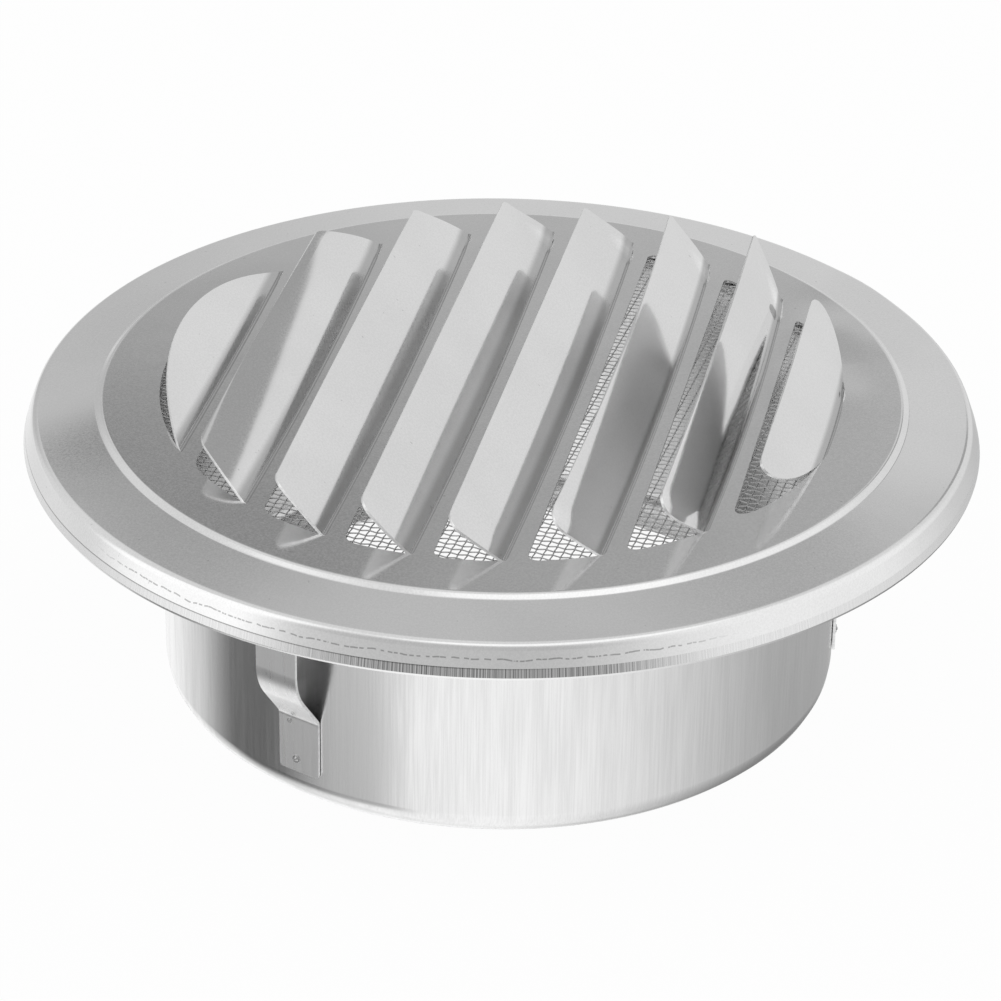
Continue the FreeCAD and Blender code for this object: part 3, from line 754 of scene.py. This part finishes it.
def bump(tree, height, distance, below=None):
    """Bump of a height between 0 and 1 times a distance in millimetres, laid over another bump."""
    node = tree.nodes.new("ShaderNodeBump")
    node.inputs["Distance"].default_value = distance / METRE
    tree.links.new(height, node.inputs["Height"])
    if below is not None:
        tree.links.new(below, node.inputs["Normal"])
    return node.outputs["Normal"]


def own_place(tree):
    """The piece's own coordinates X, Y and Z in metres."""
    place = tree.nodes.new("ShaderNodeSeparateXYZ")
    tree.links.new(tree.nodes.new("ShaderNodeTexCoord").outputs["Object"], place.inputs["Vector"])
    return place.outputs["X"], place.outputs["Y"], place.outputs["Z"]


def round_place(tree):
    """Distance from the cover's axis in millimetres and angle round it, in the piece's own coordinates."""
    x, y, _ = own_place(tree)
    squared = math_node(tree, "MULTIPLY_ADD", x, x, math_node(tree, "MULTIPLY", y, y))
    radius = math_node(tree, "MULTIPLY", math_node(tree, "SQRT", squared), METRE)
    return radius, math_node(tree, "ARCTAN2", y, x)


def angle_noise(tree, angle, marks):
    """Noise along the angle round the cover, with about so many marks to a radian."""
    node = tree.nodes.new("ShaderNodeTexNoise")
    node.noise_dimensions = "1D"
    node.inputs["Scale"].default_value = marks
    node.inputs["Detail"].default_value = MARK_DETAIL
    tree.links.new(angle, node.inputs["W"])
    return node.outputs["Fac"]


def near_angle(tree, angle, middle, reach):
    """Mask that is 1 within the first reach of an angle and 0 beyond the second."""
    aside = math_node(tree, "ABSOLUTE", math_node(tree, "SUBTRACT", angle, middle))
    return smooth_range(tree, aside, reach, FADE_OUT)


def scuff_line(tree, radius, angle):
    """Mask of a broken line on the rim's front: a narrow wavy band of radii, kept where a noise is high."""
    waves = angle_noise(tree, angle, SCUFF_WAVES)
    middle = math_node(tree, "MULTIPLY_ADD", waves, SCUFF_WANDER, SCUFF_RADIUS)
    offset = math_node(tree, "ABSOLUTE", math_node(tree, "SUBTRACT", radius, middle))
    band = smooth_range(tree, offset, SCUFF_BAND, FADE_OUT)
    dashes = smooth_range(tree, angle_noise(tree, angle, SCUFF_DASHES), DASH_SPAN, FADE_IN)
    return product(tree, band, dashes, near_angle(tree, angle, SCUFF_FRONT, SCUFF_REACH))


def metal(tree, shader, grey, roughness, normal):
    """Makes a shader a metal whose grey, roughness and normal come from sockets."""
    shader.inputs["Metallic"].default_value = 1.0
    for name, socket in (("Base Color", grey), ("Roughness", roughness), ("Normal", normal)):
        tree.links.new(socket, shader.inputs[name])


def pressed_steel():
    """Bright pressed sheet with faint clouds, grain and specks and a broken scuff line on the rim.

    It is duller at the bends, by each point's bend shade, and wherever it lies no higher than the panel.
    The bend shade also darkens it there, as painted shade in the creases."""
    material, tree, shader = new_material("pressed_steel")
    clouds = grain(tree, SHEET_CLOUDS)
    fine = grain(tree, SHEET_GRAIN)
    specks = grain(tree, SHEET_SPECKS, SPECK_DETAIL)
    scuffs = scuff_line(tree, *round_place(tree))
    attribute = tree.nodes.new("ShaderNodeAttribute")
    attribute.attribute_name = "bend_shade"
    bend_shade = attribute.outputs["Fac"]
    # The bend shade darkens the grey near each bend: painted shade in the creases
    grey = product(tree,
                   smooth_range(tree, clouds, NOISE_SPAN, SHEET_GREYS),
                   smooth_range(tree, bend_shade, BEND_SHADE_SPAN, BEND_SHADE_GREYS),
                   smooth_range(tree, specks, SPECK_SPAN, SPECK_GREYS),
                   smooth_range(tree, fine, NOISE_SPAN, GRAIN_GREYS),
                   smooth_range(tree, scuffs, WHOLE_SPAN, SCUFF_GREYS))
    _, _, height = own_place(tree)
    rise = [(PANEL_TOP + above) / METRE for above in FLAP_RISE]
    dull = smooth_range(tree, height, rise, (PANEL_DULL, 0.0))
    dull = math_node(tree, "MULTIPLY_ADD", bend_shade, BEND_DULL, dull)
    roughness = math_node(tree, "ADD", smooth_range(tree, fine, ROUGH_SPAN, SHEET_ROUGHNESS), dull)
    metal(tree, shader, grey, roughness, bump(tree, fine, GRAIN_DEPTH, bump(tree, clouds, CLOUD_DEPTH)))
    return material


def skirt_steel():
    """Skirt's trimmed band: fine upright marks, dark on the front as painted shade and faint round the
    rest.

    A dark line of painted shade runs along its upper edge on the front left."""
    material, tree, shader = new_material("skirt_steel")
    _, angle = round_place(tree)
    _, _, height = own_place(tree)
    marks = angle_noise(tree, angle, SKIRT_MARKS)
    dark = smooth_range(tree, marks, NOISE_SPAN, FRONT_SHADE_GREYS)
    light = smooth_range(tree, marks, NOISE_SPAN, SKIRT_GREYS)
    # Darker front: painted shade
    front_shade = near_angle(tree, angle, FRONT_SHADE_MIDDLE, FRONT_SHADE_REACH)
    grey = math_node(tree, "MULTIPLY_ADD", front_shade, math_node(tree, "SUBTRACT", dark, light), light)
    # Dark line under the rim's bend: painted shade
    edge = [(SKIRT_TOP - depth) / METRE for depth in SHADE_LINE_DEPTHS]
    shade_line = smooth_range(tree, height, edge, FADE_IN)
    shade_line = product(tree, shade_line, near_angle(tree, angle, SHADE_LINE_MIDDLE, SHADE_LINE_REACH))
    grey = product(tree, grey, smooth_range(tree, shade_line, WHOLE_SPAN, SHADE_LINE_GREYS))
    roughness = smooth_range(tree, marks, NOISE_SPAN, SKIRT_ROUGHNESS)
    metal(tree, shader, grey, roughness, bump(tree, marks, SKIRT_DEPTH))
    return material


def marked_steel(name, sizes, greys, roughness, depth):
    """Steel with marks of two sizes, fine over broad, which move its grey and roughness and stand out."""
    material, tree, shader = new_material(name)
    fine_size, broad_size = sizes
    fine = grain(tree, fine_size, MARK_DETAIL)
    broad = math_node(tree, "MULTIPLY", grain(tree, broad_size), 1.0 - FINE_SHARE)
    marks = math_node(tree, "MULTIPLY_ADD", fine, FINE_SHARE, broad)
    metal(tree, shader, smooth_range(tree, marks, MARK_SPAN, greys),
          smooth_range(tree, marks, MARK_SPAN, roughness), bump(tree, fine, depth))
    return material


# Camera at the photograph's place: lengths in millimetres, its near clip in metres
CAMERA_DISTANCE = 746.49
CAMERA_ELEVATION = math.radians(29.628)
CAMERA_AZIMUTH = math.radians(11.331)
CAMERA_ROLL = math.radians(0.862)
CAMERA_SHIFT = (-0.246, -12.468)
CAMERA_LENS = 155.63
CAMERA_SENSOR = 36.0
CAMERA_CLIP = 0.01


def place_camera():
    """Camera on a sphere round the origin, rolled about its own axis and moved sideways in its plane."""
    back = Vector((math.sin(CAMERA_AZIMUTH) * math.cos(CAMERA_ELEVATION),
                   -math.cos(CAMERA_AZIMUTH) * math.cos(CAMERA_ELEVATION), math.sin(CAMERA_ELEVATION)))
    level = Vector((math.cos(CAMERA_AZIMUTH), math.sin(CAMERA_AZIMUTH), 0.0))
    above = back.cross(level)
    right = level * math.cos(CAMERA_ROLL) + above * math.sin(CAMERA_ROLL)
    up = above * math.cos(CAMERA_ROLL) - level * math.sin(CAMERA_ROLL)
    eye = back * CAMERA_DISTANCE + right * CAMERA_SHIFT[0] + up * CAMERA_SHIFT[1]
    data = bpy.data.cameras.new("camera")
    data.lens = CAMERA_LENS
    data.sensor_width = CAMERA_SENSOR
    data.sensor_fit = "HORIZONTAL"
    data.clip_start = CAMERA_CLIP
    camera = bpy.data.objects.new("camera", data)
    turn = Matrix((right, up, back)).transposed().to_4x4()
    camera.matrix_world = Matrix.Translation(eye / METRE) @ turn
    bpy.context.scene.collection.objects.link(camera)
    bpy.context.scene.camera = camera


# Studio greys that the metal mirrors, each a soft-edged card laid over the ones before it: azimuth from +Y
# towards +X and elevation of its middle, half its width and height, its edge's softness, its brightness
STUDIO_BASE = 0.75
ALL_ROUND = 1000.0
STUDIO_CARDS = {
    "floor_light": (0.0, -62.0, ALL_ROUND, 36.0, 0.2, 1.04),
    "right_light": (88.0, 32.0, 40.0, 44.0, 0.4, 0.95),
    "left_light": (-115.0, 28.0, 25.0, 36.0, 0.3, 1.15),
    "top_light": (140.0, 73.0, 75.0, 12.0, 0.3, 1.1),
    "front_grey": (178.0, 27.0, 36.0, 24.0, 0.35, 0.53),
    "back_low": (-2.0, 17.0, 13.0, 14.0, 0.4, 0.66),
    "back_left_grey": (-33.0, 12.0, 18.0, 16.0, 0.5, 0.53),
    "back_grey": (-11.0, 46.0, 24.0, 14.0, 0.3, 0.55),
    "far_grey": (-11.0, 24.5, 9.0, 3.0, 0.3, 0.52),
    "far_shade": (13.8, 29.7, 6.2, 8.3, 0.06, 0.37),
    "back_high": (-5.0, 41.0, 10.5, 5.5, 0.06, 0.41),
    "back_mid": (-9.2, 33.0, 5.8, 6.2, 0.06, 0.41),
    "back_shade": (-18.5, 36.0, 10.8, 9.0, 0.06, 0.37),
    "dark_card": (-20.8, 30.3, 8.0, 2.55, 0.08, 0.24),
    "left_low": (-45.0, -17.0, 28.0, 12.0, 0.5, 0.88),
    "right_floor": (20.0, -46.0, 75.0, 22.0, 0.95, 0.22),
    "far_floor": (-30.0, -48.0, 28.0, 26.0, 0.5, 1.08),
    "left_middle": (-135.0, -42.0, 22.0, 12.0, 0.2, 0.4),
    "left_floor": (-100.0, -37.0, 23.0, 14.0, 0.5, 0.09),
}
FOURTH_ROOT = 0.25

# Floor: half its side in metres, how far it lies under the lip in millimetres, its grey, and how much of
# what the camera sees of it is plain white
FLOOR_SIZE = 2.0
FLOOR_GAP = 0.02
FLOOR_WHITE = 0.9
CAMERA_SHARE = 0.96


def studio_card(tree, azimuth, elevation, below, card):
    """Card over what lies below it: a soft-edged superellipse, a^4 + e^4 = 1 in half widths and heights."""
    middle_azimuth, middle_elevation, half_width, half_height, softness, brightness = card
    aside = math_node(tree, "SUBTRACT", azimuth, math.radians(middle_azimuth))
    aside = math_node(tree, "WRAP", aside, math.pi, -math.pi)
    across = math_node(tree, "DIVIDE", aside, math.radians(half_width))
    lifted = math_node(tree, "SUBTRACT", elevation, math.radians(middle_elevation))
    along = math_node(tree, "DIVIDE", lifted, math.radians(half_height))
    across = math_node(tree, "MULTIPLY", across, across)
    along = math_node(tree, "MULTIPLY", along, along)
    fourth = math_node(tree, "MULTIPLY_ADD", across, across, math_node(tree, "MULTIPLY", along, along))
    edge = math_node(tree, "POWER", fourth, FOURTH_ROOT)
    share = smooth_range(tree, edge, (1.0 - softness, 1.0 + softness), FADE_OUT)
    rest = math_node(tree, "SUBTRACT", brightness, below)
    return math_node(tree, "MULTIPLY_ADD", share, rest, below)


def studio_world():
    """World that is white for the camera and holds the studio's soft cards for every other ray."""
    world = bpy.data.worlds.new("studio")
    bpy.context.scene.world = world
    world.use_nodes = True
    tree = world.node_tree
    background = tree.nodes["Background"]
    direction = tree.nodes.new("ShaderNodeSeparateXYZ")
    tree.links.new(tree.nodes.new("ShaderNodeTexCoord").outputs["Generated"], direction.inputs["Vector"])
    azimuth = math_node(tree, "ARCTAN2", direction.outputs["X"], direction.outputs["Y"])
    elevation = math_node(tree, "ARCSINE", direction.outputs["Z"])
    brightness = STUDIO_BASE
    for card in STUDIO_CARDS.values():
        brightness = studio_card(tree, azimuth, elevation, brightness, card)
    camera = tree.nodes.new("ShaderNodeLightPath").outputs["Is Camera Ray"]
    missing = math_node(tree, "SUBTRACT", 1.0, brightness)
    strength = math_node(tree, "MULTIPLY_ADD", camera, missing, brightness)
    tree.links.new(strength, background.inputs["Strength"])
    background.inputs["Color"].default_value = (1.0, 1.0, 1.0, 1.0)
    world.cycles.sampling_method = "NONE"


def studio_floor():
    """Level floor under the lip: nearly white for the camera, with a faint shadow, and not mirrored."""
    mesh = bpy.data.meshes.new("floor")
    level = (COLLAR_FOOT - FLOOR_GAP) / METRE
    corners = ((-1.0, -1.0), (1.0, -1.0), (1.0, 1.0), (-1.0, 1.0))
    mesh.from_pydata([(FLOOR_SIZE * x, FLOOR_SIZE * y, level) for x, y in corners], [], [(0, 1, 2, 3)])
    floor = bpy.data.objects.new("floor", mesh)
    bpy.context.scene.collection.objects.link(floor)
    floor.visible_glossy = False
    material, tree, shader = new_material("floor_white")
    shader.inputs["Base Color"].default_value = (FLOOR_WHITE, FLOOR_WHITE, FLOOR_WHITE, 1.0)
    shader.inputs["Roughness"].default_value = 1.0
    shader.inputs["Specular IOR Level"].default_value = 0.0
    glow = tree.nodes.new("ShaderNodeEmission")
    mix = tree.nodes.new("ShaderNodeMixShader")
    camera = tree.nodes.new("ShaderNodeLightPath").outputs["Is Camera Ray"]
    tree.links.new(math_node(tree, "MULTIPLY", camera, CAMERA_SHARE), mix.inputs["Fac"])
    tree.links.new(shader.outputs["BSDF"], mix.inputs[1])
    tree.links.new(glow.outputs["Emission"], mix.inputs[2])
    tree.links.new(mix.outputs["Shader"], tree.nodes["Material Output"].inputs["Surface"])
    mesh.materials.append(material)


steels = {"pressed_steel": pressed_steel(), "skirt_steel": skirt_steel()}
for name, marks in MARKED_STEELS.items():
    steels[name] = marked_steel(name, *marks)

pressed_face()
drawn_collar()
woven_wires("screen_warp", False)
woven_wires("screen_weft", True)
for number, bearing in enumerate(CLIP_BEARINGS, 1):
    spring_clip(number, bearing)

bpy.context.scene.view_settings.view_transform = "Standard"
place_camera()
studio_world()
studio_floor()
